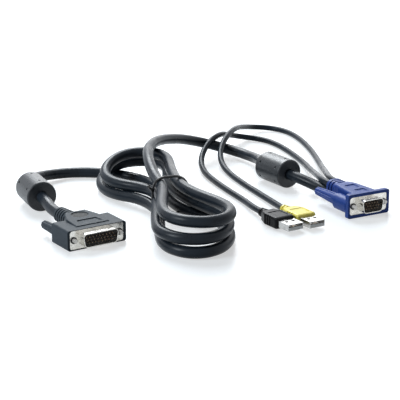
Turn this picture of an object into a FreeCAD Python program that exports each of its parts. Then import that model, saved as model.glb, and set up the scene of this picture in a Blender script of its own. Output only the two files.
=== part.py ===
import FreeCAD, Part
import math
import os

from FreeCAD import Placement, Rotation, Vector

# Switch cable set: one 26-pin plug on a long round cord, which ends in a 15-pin video plug
# that also gives off two thin leads with flat data plugs. The cord lies as a tied hank.
# Millimetres. +Z is up and the table is z = 0. The origin is the centre of the underside of
# the 26-pin plug's hood, whose mating face looks along -Y, with X across the face.

# ---------------------------------------------------------------- driving dimensions
# both screw-locked plugs; y is measured from the front of the front flange
RIM_LIP = 0.6                   # hood's front edge, ahead of the flange
RIM_CLEARANCE = 0.05            # flange edge to the hood's recess
FLANGE_THICKNESS = 0.8          # each of the two stamped flanges
FLANGE_CORNER = 2.0
SHELL_REACH = 5.9               # D-shaped shell, out from the flange
SHELL_WALL = 0.5
SHELL_CORNER = 2.6
SHELL_SLANT = math.radians(10)  # slope of the two short sides
DIMPLE_RADIUS = 0.8             # dents pressed in the shell's two long walls
DIMPLE_DEPTH = 0.25
DIMPLE_FROM_RIM = 2.2
DIMPLE_PITCH = 3.4
REAR_SHELL_DEPTH = 6.0
INSULATOR_LIP = 0.9             # insulator's face, out from the flange
PIN_RADIUS = 0.38
PIN_REACH = 5.1
PIN_POINT = 0.5
PIN_TAIL = 2.2                  # solder tail behind the insulator
ROW_SPACING = 1.98
MOULD_TAIL = 3.0                # potting behind the pin tails
SCREW_RADIUS = 1.42             # 4-40 thread, major radius
SCREW_WAIST = 1.1
SCREW_REACH = 3.2               # thread, out from the flange
SCREW_THREAD = 3.1              # full-radius length, ends just clear of the flange
SCREW_CHAMFER = 0.4
SCREW_CLEARANCE = 0.08          # radial, screw to its holes
SCREW_JOURNAL = 5.0             # full-radius root inside the hood
KNOB_GAP = 0.3                  # hood to the face of a knob
KNOB_FLUTES = 8
KNOB_FLUTE_RADIUS = 0.9
KNOB_FLUTE_DEPTH = 0.4
KNOB_FOOT = 2.5                 # plain length before the flutes
KNOB_TIP_ROUND = 0.7
HOOD_CORNER = 1.6
RING_PITCH = 3.2                # ring grooves of every strain relief
RING_WIDTH = 1.3
RING_DEPTH = 0.8
RING_START = 2.0                # plain length before the first groove

# 26-pin plug; y of the hood is measured from its own front edge
SWITCH_HOOD_WIDTH = 42.5
SWITCH_HOOD_HEIGHT = 13.4
SWITCH_HOOD_DEPTH = 21.5
SWITCH_FLANGE_WIDTH = 39.14
SWITCH_FLANGE_HEIGHT = 12.5
SWITCH_SCREW_SPACING = 33.3
SWITCH_BORE_WIDTH = 25.25       # inside of the D-shaped shell
SWITCH_BORE_HEIGHT = 8.36
SWITCH_DIMPLES = 6
SWITCH_PIN_PITCH = 2.41
SWITCH_PIN_ROWS = (9, 9, 8)
PANEL_WIDTH = 24.0              # raised top panel
PANEL_END_WIDTH = 15.0
PANEL_FRONT = 5.0
PANEL_TAPER = 18.75             # where its sides start to draw in
PANEL_END = 29.5
PANEL_RISE = 0.5                # over the block at its front
PANEL_END_RISE = 2.3            # over the block at its back: the top is one sloping plane
PANEL_EDGE = 0.5
POCKET_FRONT = 8.0              # shallow pocket in the panel, wider at the front
POCKET_BACK = 14.1
POCKET_FRONT_WIDTH = 17.2
POCKET_BACK_WIDTH = 14.0
POCKET_DEPTH = 0.5
SCOOP_MIDDLE = 22.7             # oval thumb recess
SCOOP_WIDTH = 12.0
SCOOP_LENGTH = 10.0
SCOOP_DEPTH = 0.45
NECK_WIDTH = 24.6
NECK_HEIGHT = 12.4
NECK_CORNER = 3.0
NECK_END = 31.5
RELIEF_RISE = 1.3               # strain relief's axis over the middle of the hood
RELIEF_END = 49.5
RELIEF_RADIUS = 6.2
RELIEF_TIP = 5.2
SWITCH_KNOB_LENGTH = 18.5
SWITCH_KNOB_RADIUS = 3.5
SWITCH_KNOB_TIP = 2.8

# 15-pin video plug; y of the hood is measured from its own front edge
VIDEO_PLACE = (185.0, -57.0)    # middle of the hood's front edge
VIDEO_TURN = -4.0               # degrees about Z
VIDEO_FRAME_WIDTH = 34.0
VIDEO_FRAME_HEIGHT = 16.8
VIDEO_FRAME_DEPTH = 3.5
VIDEO_FLANGE_WIDTH = 30.8
VIDEO_FLANGE_HEIGHT = 12.5
VIDEO_SCREW_SPACING = 25.0
VIDEO_BORE_WIDTH = 16.92        # inside of the D-shaped shell
VIDEO_BORE_HEIGHT = 8.36
VIDEO_DIMPLES = 4
VIDEO_PIN_PITCH = 2.29
VIDEO_PIN_ROWS = (5, 5, 5)
VIDEO_BODY_WIDTH = 21.0
VIDEO_BODY_WAIST = 16.5
VIDEO_BODY_WAIST_AT = 25.0
VIDEO_BODY_HEIGHT = 15.2
VIDEO_BODY_EDGE = 28.0          # where the flat top ends
VIDEO_BODY_LENGTH = 32.5
VIDEO_BODY_CORNER = 2.0
VIDEO_POCKET_WIDTH = 7.8        # square pocket near the frame
VIDEO_POCKET_FRONT = 5.8
VIDEO_POCKET_BACK = 12.3
VIDEO_PAD_WIDTH = 8.0           # finger pad behind it
VIDEO_PAD_FRONT = 16.5
VIDEO_PAD_BACK = 23.7
VIDEO_POCKET_DEPTH = 0.5
VIDEO_EAR_RADIUS = 4.85         # barrel round each screw
VIDEO_EAR_DROP = 1.4            # its extra height below
VIDEO_EAR_END = 18.0
VIDEO_COLLAR_END = 41.5
VIDEO_COLLAR_CORNER = 4.5
VIDEO_KNOB_LENGTH = 25.0
VIDEO_KNOB_RADIUS = 4.3
VIDEO_KNOB_TIP = 2.9
VIDEO_KNOB_CLEARANCE = 0.4

# flat data plugs; y is measured from the open end of the shell
DATA_WIDTH = 15.0
DATA_HEIGHT = 8.0
DATA_BODY_LENGTH = 19.5
DATA_BODY_CORNER = 1.6
DATA_FRONT_STEP = 0.8           # the body's front is this much narrower
DATA_FRONT_LENGTH = 1.2
DATA_TAPER_AT = 13.6            # from the body's front
DATA_END_WIDTH = 11.0
DATA_END_HEIGHT = 7.2
DATA_PANEL_WIDTH = 10.0         # recess in the top and bottom faces
DATA_PANEL_LENGTH = 11.0
DATA_PANEL_FRONT = 2.4          # from the body's front
DATA_PANEL_CORNER = 1.5
DATA_PANEL_DEPTH = 0.3
DATA_SHELL_WIDTH = 12.0
DATA_SHELL_HEIGHT = 4.5
DATA_SHELL_WALL = 0.3
DATA_SHELL_REACH = 12.0
DATA_SHELL_ROOT = 6.0           # hidden in the overmould
DATA_TONGUE_HEIGHT = 1.85
DATA_TONGUE_SETBACK = 0.5
DATA_WINDOW = 2.4
DATA_WINDOW_SPACING = 5.1
DATA_WINDOW_FROM_TIP = 5.2
DATA_CONTACTS = 4
DATA_CONTACT_SPACING = 2.3
DATA_CONTACT_WIDTH = 1.1
DATA_CONTACT_LENGTH = 7.4
DATA_CONTACT_THICKNESS = 0.2
DATA_CONTACT_SETBACK = 1.0      # from the tongue's tip
DATA_RELIEF_LENGTH = 7.5
DATA_RELIEF_RADIUS = 3.5
DATA_RELIEF_TIP = 3.1
DATA_RING_DEPTH = 0.6
DATA_RING_START = 1.2
GRIP_NOTCHES = 3
GRIP_PITCH = 2.6
GRIP_RADIUS = 0.8
GRIP_FRONT = 6.8                # first notch, from the body's front
BLACK_PLACE = (121.5, -59.0)    # middle of the open end of its shell
BLACK_TURN = -1.0
YELLOW_PLACE = (137.2, -61.8)
YELLOW_TURN = -2.0

# cords
CORD_RADIUS = 3.9
LEAD_RADIUS = 2.2
ARC_SHARE = 0.45                # of the shorter run, given to each end of a bend
COLLAR_WALL = 0.9               # video plug's collar, outside the cords
LEAD_GAP = 0.8                  # main cord to the leads over it
LEAD_SPREAD = 2.4               # between the two leads
INLET_STRAIGHT = 14.0           # straight stretch of each cord behind the collar
EXIT_STRAIGHT = 12.0            # straight stretch behind the 26-pin plug's relief
FERRITE_RADIUS = 10.5
FERRITE_LENGTH = 28.5
FERRITE_WALL = 1.5              # moulded cover over the core
FERRITE_EDGE = 1.0
FERRITE_DIMPLE_RADIUS = 0.9     # marks of the pins that held the core in its mould
FERRITE_DIMPLE_DEPTH = 0.6
FERRITE_DIMPLE_FROM_END = 5.0
FERRITE_DIMPLE_ANGLES = (30, 90, 150, 210, 330)
HANK_LAYERS = 3
HANK_GAP = 0.8                  # between two layers of turns
TIE_THICKNESS = 0.9
TIE_WIDTH = 4.0
TIE_TWIST_RADIUS = 1.3
TIE_TWIST_LENGTH = 9.0
TIE_TWIST_WAY = (-0.5, -0.3, 1.0)

# sizes tied to the ones above
VIDEO_COLLAR_WIDTH = 4 * LEAD_RADIUS + LEAD_SPREAD + 2 * COLLAR_WALL
VIDEO_COLLAR_HEIGHT = 2 * (CORD_RADIUS + LEAD_RADIUS + COLLAR_WALL) + LEAD_GAP
LEAD_ACROSS = LEAD_SPREAD / 2 + LEAD_RADIUS
HANK_HEIGHT = HANK_LAYERS * (2 * CORD_RADIUS + HANK_GAP) - HANK_GAP
LEAD_UP = VIDEO_COLLAR_HEIGHT / 2 - COLLAR_WALL - LEAD_RADIUS
MAIN_INLET = (CORD_RADIUS + COLLAR_WALL - VIDEO_COLLAR_WIDTH / 2,
              CORD_RADIUS + COLLAR_WALL - VIDEO_COLLAR_HEIGHT / 2)
BLACK_INLET = (-LEAD_ACROSS, LEAD_UP)
YELLOW_INLET = (LEAD_ACROSS, LEAD_UP)
DATA_END = DATA_SHELL_REACH + DATA_BODY_LENGTH + DATA_RELIEF_LENGTH

SWITCH_PLUG = {
    "name": "switch", "flange": (SWITCH_FLANGE_WIDTH, SWITCH_FLANGE_HEIGHT),
    "bore": (SWITCH_BORE_WIDTH, SWITCH_BORE_HEIGHT), "dimples": SWITCH_DIMPLES,
    "spacing": SWITCH_SCREW_SPACING, "pitch": SWITCH_PIN_PITCH, "rows": SWITCH_PIN_ROWS,
    "knob_face": SWITCH_HOOD_DEPTH - RIM_LIP,
    "knob": (SWITCH_KNOB_RADIUS, SWITCH_KNOB_TIP, SWITCH_KNOB_LENGTH),
    "place": Placement(Vector(0, RIM_LIP - SWITCH_HOOD_DEPTH / 2, SWITCH_HOOD_HEIGHT / 2),
                       Rotation()),
}
VIDEO_PLUG = {
    "name": "video", "flange": (VIDEO_FLANGE_WIDTH, VIDEO_FLANGE_HEIGHT),
    "bore": (VIDEO_BORE_WIDTH, VIDEO_BORE_HEIGHT), "dimples": VIDEO_DIMPLES,
    "spacing": VIDEO_SCREW_SPACING, "pitch": VIDEO_PIN_PITCH, "rows": VIDEO_PIN_ROWS,
    "knob_face": VIDEO_EAR_END - RIM_LIP,
    "knob": (VIDEO_KNOB_RADIUS, VIDEO_KNOB_TIP, VIDEO_KNOB_LENGTH),
    "place": Placement(Vector(*VIDEO_PLACE, VIDEO_FRAME_HEIGHT / 2),
                       Rotation(Vector(0, 0, 1), VIDEO_TURN)).multiply(
                           Placement(Vector(0, RIM_LIP, 0), Rotation())),
}
BLACK_PLUG = {"name": "black", "place": Placement(Vector(*BLACK_PLACE, DATA_HEIGHT / 2),
                                                  Rotation(Vector(0, 0, 1), BLACK_TURN))}
YELLOW_PLUG = {"name": "yellow", "place": Placement(Vector(*YELLOW_PLACE, DATA_HEIGHT / 2),
                                                    Rotation(Vector(0, 0, 1), YELLOW_TURN))}

# ---------------------------------------------------------------- cord routes, chosen by hand
# each leaves out the points that a plug sets: they are added where the cord is made
LEFT_ROUTE = [
    (3.4, 67, 10.5), (11, 109, 10.5), (22.5, 126, 8.2), (40, 137.5, 5), (60, 137.5, 4.1),
    (77.5, 126.5, 4), (90, 109, 3.9),
]
LEFT_FERRITE_RUN = (2, 3)       # the two points of the whole route that its core lies between
RIGHT_ROUTE = [
    (70.5, 33.5, 24.6), (75.5, 47, 27.2), (82, 61, 29.3), (92, 77.5, 30.2), (105.5, 93.5, 29.5),
    (121, 107, 27), (138, 118, 23), (155, 127, 18.2), (171, 131, 13), (184.5, 128, 8.6),
    (193.5, 117.5, 5.8), (197, 103, 4.8), (195, 87.5, 5.8), (188.5, 73.5, 8.6),
    (180.5, 60, 10.5), (180, 20.5, 10.5),
]
RIGHT_FERRITE_RUN = (14, 15)
BLACK_ROUTE = [
    (195, 12, 11.8), (209, 30, 7.8), (222, 52, 3.8), (233, 75, 2.2),
    (240, 97, 2.2), (244, 115, 2.2), (245, 131, 2.2), (240, 144, 2.2), (230, 152.5, 2.8),
    (217, 156, 5.4), (203, 153.5, 11), (190, 144, 17.2), (178, 131, 19.2), (166, 118, 15.2),
    (155, 101, 6.4), (145, 79, 2.2), (139, 57, 2.2), (134, 28, 2.2), (126, 2, 2.8),
]
YELLOW_ROUTE = [
    (202, 11.5, 11), (217, 29, 7.2), (231.5, 49, 3.8), (246, 71, 2.2),
    (259, 95, 2.2), (270, 119, 2.2), (276, 143, 2.2), (274, 162, 2.2), (261, 173, 2.8),
    (243, 173, 6.6), (224, 164, 12.4), (207, 149.5, 17.2), (194, 133, 18), (182, 116.5, 14.6),
    (170, 99, 7.2), (158, 78, 2.2), (149, 53, 2.2), (144, 24, 2.2), (140.2, -4, 2.6),
]

# each lobe of the hank: (centre, radius) of its far bend outside and inside
HANK_WAIST = (76.0, 17.5)
HANK_WAIST_RADIUS = 16.5
LEFT_LOBE = {"outer": ((86.5, 85.0), 30.5), "inner": ((79.0, 84.5), 15.0), "root": (80.0, 40.0)}
RIGHT_LOBE = {"outer": ((58.3, -38.2), 33.3), "inner": ((56.0, -43.5), 17.0), "root": (72.0, -3.0)}
HANK_ROOT_RADIUS = 2.5
HANK_EDGE = 3.6


# ---------------------------------------------------------------- shared forms
def box(width, depth, height, y=0.0, x=0.0, z=0.0):
    """Box centred on x and z, from y to y + depth."""
    return Part.makeBox(width, depth, height, Vector(x - width / 2, y, z - height / 2))


def rod(radius, length, x=0.0, y=0.0, z=0.0, end_radius=None):
    """Round bar along +Y from y, tapered if end_radius is given."""
    start = Vector(x, y, z)
    if end_radius is None or end_radius == radius:
        return Part.makeCylinder(radius, length, start, Vector(0, 1, 0))
    return Part.makeCone(radius, end_radius, length, start, Vector(0, 1, 0))


def upright_face(outline, y):
    """Flat face in the XZ plane at y, from a closed list of (x, z) corners."""
    corners = [Vector(x, y, z) for x, z in outline]
    return Part.Face(Part.makePolygon(corners + corners[:1]))


def block(width, height, depth, corner, y=0.0):
    """Bar along Y with a rounded rectangular section."""
    bar = box(width, depth, height, y)
    return bar.makeFillet(corner, [e for e in bar.Edges if runs_along(e, Vector(0, 1, 0))])


def runs_along(edge, direction):
    """True for a straight edge that is parallel to direction."""
    if not isinstance(edge.Curve, Part.Line):
        return False
    span = edge.Vertexes[1].Point - edge.Vertexes[0].Point
    return abs(span.normalize().dot(direction)) > 0.999


def d_bar(width, height, depth, corner, y=0.0):
    """Bar along Y with the keyed D section: wide at the top, its short sides slanting in."""
    inset = height * math.tan(SHELL_SLANT)
    outline = [(-width / 2, height / 2), (width / 2, height / 2),
               (width / 2 - inset, -height / 2), (-width / 2 + inset, -height / 2)]
    bar = upright_face(outline, y).extrude(Vector(0, depth, 0))
    return bar.makeFillet(corner, [e for e in bar.Edges if runs_along(e, Vector(0, 1, 0))])


def section_loft(sections):
    """Solid through rounded rectangles: each is (y, width, height, corner, middle height)."""
    wires = []
    for y, width, height, corner, middle in sections:
        bar = block(width, height, 1.0, corner, y)
        face = [f for f in bar.Faces if abs(f.CenterOfMass.y - y) < 1e-6][0]
        wire = face.OuterWire.copy()
        wire.translate(Vector(0, 0, middle))
        wires.append(wire)
    return Part.makeLoft(wires, True, True)


def merge(first, *others):
    """One solid from pieces that meet."""
    return first.fuse(list(others)).removeSplitter()


# ---------------------------------------------------------------- screw-locked plugs
def screw_places(plug):
    """Across positions of the two locking screws."""
    return (-plug["spacing"] / 2, plug["spacing"] / 2)


def pin_places(plug):
    """(x, z) of every pin: rows from the top, each next row half a pitch across."""
    places = []
    rows = plug["rows"]
    for row, count in enumerate(rows):
        z = ROW_SPACING * ((len(rows) - 1) / 2 - row)
        shift = plug["pitch"] / 4 * (1 if row % 2 else -1) if count == rows[0] else 0.0
        for step in range(count):
            places.append((plug["pitch"] * (step - (count - 1) / 2) + shift, z))
    return places


def flange(plug, y):
    """Stamped plate with its two screw holes."""
    width, height = plug["flange"]
    plate = block(width, height, FLANGE_THICKNESS, FLANGE_CORNER, y)
    for x in screw_places(plug):
        plate = plate.cut(rod(SCREW_RADIUS + SCREW_CLEARANCE, 3 * FLANGE_THICKNESS, x,
                              y - FLANGE_THICKNESS))
    return plate


def shell_size(plug):
    """Outside width and height of the D-shaped shell."""
    width, height = plug["bore"]
    return width + 2 * SHELL_WALL, height + 2 * SHELL_WALL


def shell_dimples(plug):
    """Dents in the two long walls of the shell, near its rim."""
    top = shell_size(plug)[1] / 2 + DIMPLE_RADIUS - DIMPLE_DEPTH
    dents = []
    for step in range(plug["dimples"]):
        x = DIMPLE_PITCH * (step - (plug["dimples"] - 1) / 2)
        for z in (-top, top):
            dents.append(Part.makeSphere(DIMPLE_RADIUS,
                                         Vector(x, DIMPLE_FROM_RIM - SHELL_REACH, z)))
    return Part.makeCompound(dents)


def front_shell(plug):
    """Front flange with the drawn D-shaped tube round the pins."""
    tube = d_bar(*shell_size(plug), SHELL_REACH + FLANGE_THICKNESS, SHELL_CORNER, -SHELL_REACH)
    bore = d_bar(*plug["bore"], SHELL_REACH + 3 * FLANGE_THICKNESS,
                 SHELL_CORNER - SHELL_WALL, -SHELL_REACH - FLANGE_THICKNESS)
    return merge(flange(plug, 0.0), tube).cut(bore).cut(shell_dimples(plug))


def rear_shell(plug):
    """Back flange with the box that holds the insulator from behind."""
    tube = d_bar(*shell_size(plug), REAR_SHELL_DEPTH, SHELL_CORNER, FLANGE_THICKNESS)
    bore = d_bar(*plug["bore"], REAR_SHELL_DEPTH + 2 * FLANGE_THICKNESS,
                 SHELL_CORNER - SHELL_WALL, 0.0)
    return merge(flange(plug, FLANGE_THICKNESS), tube).cut(bore)


def insulator(plug):
    """Moulded block that fills both shells and carries the pins."""
    body = d_bar(*plug["bore"], INSULATOR_LIP + FLANGE_THICKNESS + REAR_SHELL_DEPTH,
                 SHELL_CORNER - SHELL_WALL, -INSULATOR_LIP)
    holes = [rod(PIN_RADIUS, 3 * REAR_SHELL_DEPTH, x, -REAR_SHELL_DEPTH, z)
             for x, z in pin_places(plug)]
    return body.cut(Part.makeCompound(holes))


def pins(plug):
    """All contact pins: round bars with a tapered point, one solid each."""
    length = PIN_REACH + FLANGE_THICKNESS + REAR_SHELL_DEPTH + PIN_TAIL
    bars = []
    for x, z in pin_places(plug):
        shank = rod(PIN_RADIUS, length - PIN_POINT, x, -PIN_REACH + PIN_POINT, z)
        point = rod(PIN_RADIUS / 2, PIN_POINT, x, -PIN_REACH, z, PIN_RADIUS)
        bars.append(merge(point, shank))
    return Part.makeCompound(bars)


def mould_box(plug):
    """Room behind the flanges for the rear shell and the potted wires."""
    width, height = shell_size(plug)
    depth = REAR_SHELL_DEPTH + PIN_TAIL + MOULD_TAIL
    return box(width, depth, height, 2 * FLANGE_THICKNESS)


def inner_mould(plug):
    """Potting round the rear shell, the pin tails and the wires; it fills the hood's room."""
    tube = d_bar(*shell_size(plug), REAR_SHELL_DEPTH, SHELL_CORNER, FLANGE_THICKNESS)
    tails = [rod(PIN_RADIUS, PIN_TAIL, x, FLANGE_THICKNESS + REAR_SHELL_DEPTH, z)
             for x, z in pin_places(plug)]
    return mould_box(plug).cut(Part.makeCompound([tube] + tails))


def hood_cuts(plug):
    """What the hood leaves open: flange recess, inner room, screw bores."""
    width, height = plug["flange"]
    recess = block(width + 2 * RIM_CLEARANCE, height + 2 * RIM_CLEARANCE,
                   2 * FLANGE_THICKNESS + SHELL_REACH, FLANGE_CORNER, -SHELL_REACH)
    bores = [rod(SCREW_RADIUS + SCREW_CLEARANCE, 2 * plug["knob_face"], x, 0.0)
             for x in screw_places(plug)]
    return Part.makeCompound([recess, mould_box(plug)] + bores)


def screw(plug, x):
    """Captive locking screw: threaded nose, thin waist, and a root inside the knob."""
    knob_radius, knob_tip, knob_length = plug["knob"]
    root_start = plug["knob_face"] - SCREW_JOURNAL
    root_end = plug["knob_face"] + KNOB_GAP + knob_length / 2
    nose = rod(SCREW_RADIUS - SCREW_CHAMFER, SCREW_CHAMFER, x, -SCREW_REACH, 0, SCREW_RADIUS)
    thread = rod(SCREW_RADIUS, SCREW_THREAD - SCREW_CHAMFER, x, -SCREW_REACH + SCREW_CHAMFER)
    waist = rod(SCREW_WAIST, root_start + SCREW_REACH - SCREW_THREAD, x,
                SCREW_THREAD - SCREW_REACH)
    root = rod(SCREW_RADIUS, root_end - root_start, x, root_start)
    return merge(nose, thread, waist, root)


def knob(plug, x):
    """Tapered finger grip moulded on the screw, with flutes and a shouldered foot."""
    foot_radius, tip_radius, length = plug["knob"]
    start = plug["knob_face"] + KNOB_GAP
    grip = rod(foot_radius, length, x, start, 0, tip_radius)
    grip = grip.makeFillet(KNOB_TIP_ROUND, [e for e in grip.Edges
                                            if abs(e.CenterOfMass.y - start - length) < 1e-6])
    flutes = []
    for step in range(KNOB_FLUTES):
        angle = 2 * math.pi * (step + 0.5) / KNOB_FLUTES
        foot = foot_radius + KNOB_FLUTE_RADIUS - KNOB_FLUTE_DEPTH
        tip = tip_radius + KNOB_FLUTE_RADIUS - KNOB_FLUTE_DEPTH
        base = Vector(x + foot * math.cos(angle), start, foot * math.sin(angle))
        end = Vector(x + tip * math.cos(angle), start + length, tip * math.sin(angle))
        along = (end - base).normalize()
        flutes.append(Part.makeCylinder(KNOB_FLUTE_RADIUS, length + KNOB_FOOT,
                                        base + along * KNOB_FOOT, along))
    root = rod(SCREW_RADIUS, length / 2, x, start)
    return grip.cut(Part.makeCompound(flutes + [root]))


# ---------------------------------------------------------------- the two hoods
def ring_grooves(start, end, radius, tip, depth, first, z=0.0):
    """Ring grooves round a tapered relief from start to end, as solids to cut away."""
    core = rod(radius - depth, end - start, 0, start, z, tip - depth)
    rings = []
    y = start + first
    while y + RING_WIDTH < end:
        rings.append(rod(2 * radius, RING_WIDTH, 0, y, z).cut(core))
        y += RING_PITCH
    return Part.makeCompound(rings)


def prism(outline, bottom, height):
    """Upright prism over a closed list of (x, y) corners."""
    corners = [Vector(x, y, bottom) for x, y in outline]
    return Part.Face(Part.makePolygon(corners + corners[:1])).extrude(Vector(0, 0, height))


def under_slope(drop, height):
    """Slab along the 26-pin hood's sloping top: from drop below the slope to height over it."""
    rise = (PANEL_END_RISE - PANEL_RISE) / (PANEL_END - PANEL_FRONT)
    levels = []
    for y in (0.0, RELIEF_END):
        levels.append((y, SWITCH_HOOD_HEIGHT / 2 + PANEL_RISE + rise * (y - PANEL_FRONT)))
    side = [Vector(-SWITCH_HOOD_WIDTH, y, z - drop) for y, z in levels]
    side += [Vector(-SWITCH_HOOD_WIDTH, y, z + height) for y, z in reversed(levels)]
    return Part.Face(Part.makePolygon(side + side[:1])).extrude(Vector(2 * SWITCH_HOOD_WIDTH, 0, 0))


def switch_panel():
    """Raised panel on the 26-pin hood: straight, then drawn in, under one sloping plane."""
    half, end = PANEL_WIDTH / 2, PANEL_END_WIDTH / 2
    outline = [(-half, PANEL_FRONT), (half, PANEL_FRONT), (half, PANEL_TAPER),
               (end, PANEL_END), (-end, PANEL_END), (-half, PANEL_TAPER)]
    panel = prism(outline, 0.0, SWITCH_HOOD_HEIGHT).common(under_slope(SWITCH_HOOD_HEIGHT, 0.0))
    top = max(panel.Faces, key=lambda face: face.CenterOfMass.z)
    return panel.makeChamfer(PANEL_EDGE, top.Edges)


def switch_recesses():
    """Pocket and oval thumb recess in the panel, their floors parallel to its slope."""
    front, back = POCKET_FRONT_WIDTH / 2, POCKET_BACK_WIDTH / 2
    pocket = prism([(-front, POCKET_FRONT), (front, POCKET_FRONT), (back, POCKET_BACK),
                    (-back, POCKET_BACK)], 0.0, 2 * SWITCH_HOOD_HEIGHT)
    oval = Part.Ellipse(Vector(0, SCOOP_MIDDLE, 0), SCOOP_WIDTH / 2, SCOOP_LENGTH / 2)
    scoop = Part.Face(Part.Wire(oval.toShape())).extrude(Vector(0, 0, 2 * SWITCH_HOOD_HEIGHT))
    above = SWITCH_HOOD_HEIGHT
    return Part.makeCompound([pocket.common(under_slope(POCKET_DEPTH, above)),
                              scoop.common(under_slope(SCOOP_DEPTH, above))])


def switch_hood(plug):
    """Block, sloping top panel, tapered neck and ringed strain relief, moulded in one."""
    body = block(SWITCH_HOOD_WIDTH, SWITCH_HOOD_HEIGHT, SWITCH_HOOD_DEPTH, HOOD_CORNER)
    end_size = 2 * RELIEF_RADIUS
    neck = section_loft([
        (SWITCH_HOOD_DEPTH - HOOD_CORNER, NECK_WIDTH, NECK_HEIGHT, NECK_CORNER, 0.0),
        (PANEL_END, PANEL_END_WIDTH, NECK_HEIGHT, NECK_CORNER, RELIEF_RISE / 2),
        (NECK_END, end_size, end_size, RELIEF_RADIUS - RIM_LIP, RELIEF_RISE)])
    relief = rod(RELIEF_RADIUS, RELIEF_END - NECK_END, 0, NECK_END, RELIEF_RISE, RELIEF_TIP)
    relief = relief.cut(ring_grooves(NECK_END, RELIEF_END, RELIEF_RADIUS, RELIEF_TIP,
                                     RING_DEPTH, RING_START, RELIEF_RISE))
    hood = merge(body, switch_panel(), neck, relief).cut(switch_recesses())
    hood.translate(Vector(0, -RIM_LIP, 0))
    return hood.cut(hood_cuts(plug))


def video_ear(x):
    """Barrel round one screw of the video plug, from the frame back."""
    height = 2 * VIDEO_EAR_RADIUS + VIDEO_EAR_DROP
    ear = block(2 * VIDEO_EAR_RADIUS, height, VIDEO_EAR_END - VIDEO_FRAME_DEPTH,
                VIDEO_EAR_RADIUS - SCREW_CLEARANCE, VIDEO_FRAME_DEPTH)
    ear.translate(Vector(x, 0, -VIDEO_EAR_DROP / 2))
    return ear


def video_body():
    """Waisted body: flat on top as far as the edge, then down to the collar."""
    top_end = (VIDEO_BODY_WAIST + VIDEO_COLLAR_WIDTH) / 2
    body = section_loft([
        (VIDEO_FRAME_DEPTH, VIDEO_BODY_WIDTH, VIDEO_BODY_HEIGHT, VIDEO_BODY_CORNER, 0.0),
        (VIDEO_BODY_WAIST_AT, VIDEO_BODY_WAIST, VIDEO_BODY_HEIGHT, VIDEO_BODY_CORNER, 0.0),
        (VIDEO_BODY_EDGE, top_end, VIDEO_BODY_HEIGHT, VIDEO_BODY_CORNER, 0.0),
        (VIDEO_BODY_LENGTH, VIDEO_COLLAR_WIDTH, VIDEO_COLLAR_HEIGHT - RING_DEPTH,
         VIDEO_BODY_CORNER, 0.0)])
    recesses = []
    for width, front, back in ((VIDEO_POCKET_WIDTH, VIDEO_POCKET_FRONT, VIDEO_POCKET_BACK),
                               (VIDEO_PAD_WIDTH, VIDEO_PAD_FRONT, VIDEO_PAD_BACK)):
        for side in (-1, 1):
            recesses.append(box(width, back - front, 2 * VIDEO_POCKET_DEPTH, front, 0,
                                side * VIDEO_BODY_HEIGHT / 2))
    return body.cut(Part.makeCompound(recesses))


def video_collar():
    """Collar that the three cords leave by, with two grooves round it."""
    length = VIDEO_COLLAR_END - VIDEO_BODY_LENGTH
    collar = block(VIDEO_COLLAR_WIDTH, VIDEO_COLLAR_HEIGHT, length, VIDEO_COLLAR_CORNER,
                   VIDEO_BODY_LENGTH)
    core = block(VIDEO_COLLAR_WIDTH - 2 * RING_DEPTH, VIDEO_COLLAR_HEIGHT - 2 * RING_DEPTH,
                 length, VIDEO_COLLAR_CORNER - RING_DEPTH, VIDEO_BODY_LENGTH)
    first = VIDEO_BODY_LENGTH + RING_START
    grooves = [box(2 * VIDEO_COLLAR_WIDTH, RING_WIDTH, 2 * VIDEO_COLLAR_HEIGHT, y).cut(core)
               for y in (first, first + RING_PITCH)]
    return collar.cut(Part.makeCompound(grooves))


def video_hood(plug):
    """Frame round the flange, ears for the screws, waisted body and three-cord collar."""
    frame = block(VIDEO_FRAME_WIDTH, VIDEO_FRAME_HEIGHT, VIDEO_FRAME_DEPTH, HOOD_CORNER)
    ears = [video_ear(x) for x in screw_places(plug)]
    hood = merge(frame, video_body(), video_collar(), *ears)
    scallops = [rod(VIDEO_KNOB_RADIUS + VIDEO_KNOB_CLEARANCE, VIDEO_BODY_LENGTH, x,
                    VIDEO_EAR_END) for x in screw_places(plug)]
    hood = hood.cut(Part.makeCompound(scallops))
    hood.translate(Vector(0, -RIM_LIP, 0))
    return hood.cut(hood_cuts(plug))


# ---------------------------------------------------------------- flat data plugs
def data_body():
    """Soft body, a little narrower at its front and drawn in at its back."""
    start = DATA_SHELL_REACH
    return section_loft([
        (start, DATA_WIDTH - DATA_FRONT_STEP, DATA_HEIGHT - DATA_FRONT_STEP, DATA_BODY_CORNER, 0.0),
        (start + DATA_FRONT_LENGTH, DATA_WIDTH, DATA_HEIGHT, DATA_BODY_CORNER, 0.0),
        (start + DATA_TAPER_AT, DATA_WIDTH, DATA_HEIGHT, DATA_BODY_CORNER, 0.0),
        (start + DATA_BODY_LENGTH, DATA_END_WIDTH, DATA_END_HEIGHT, DATA_BODY_CORNER, 0.0)])


def data_cuts():
    """Side grip notches, the recess in each broad face and the shell's pocket."""
    start = DATA_SHELL_REACH
    cuts = [box(DATA_SHELL_WIDTH, DATA_SHELL_ROOT, DATA_SHELL_HEIGHT, start)]
    for side in (-1, 1):
        for step in range(GRIP_NOTCHES):
            y = start + GRIP_FRONT + step * GRIP_PITCH
            cuts.append(Part.makeCylinder(GRIP_RADIUS, DATA_HEIGHT,
                                          Vector(side * DATA_WIDTH / 2, y, -DATA_HEIGHT / 2)))
        panel = box(DATA_PANEL_WIDTH, DATA_PANEL_LENGTH, 2 * DATA_PANEL_DEPTH,
                    start + DATA_PANEL_FRONT, 0, side * DATA_HEIGHT / 2)
        cuts.append(panel.makeFillet(DATA_PANEL_CORNER, [
            e for e in panel.Edges if runs_along(e, Vector(0, 0, 1))]))
    return Part.makeCompound(cuts)


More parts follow.
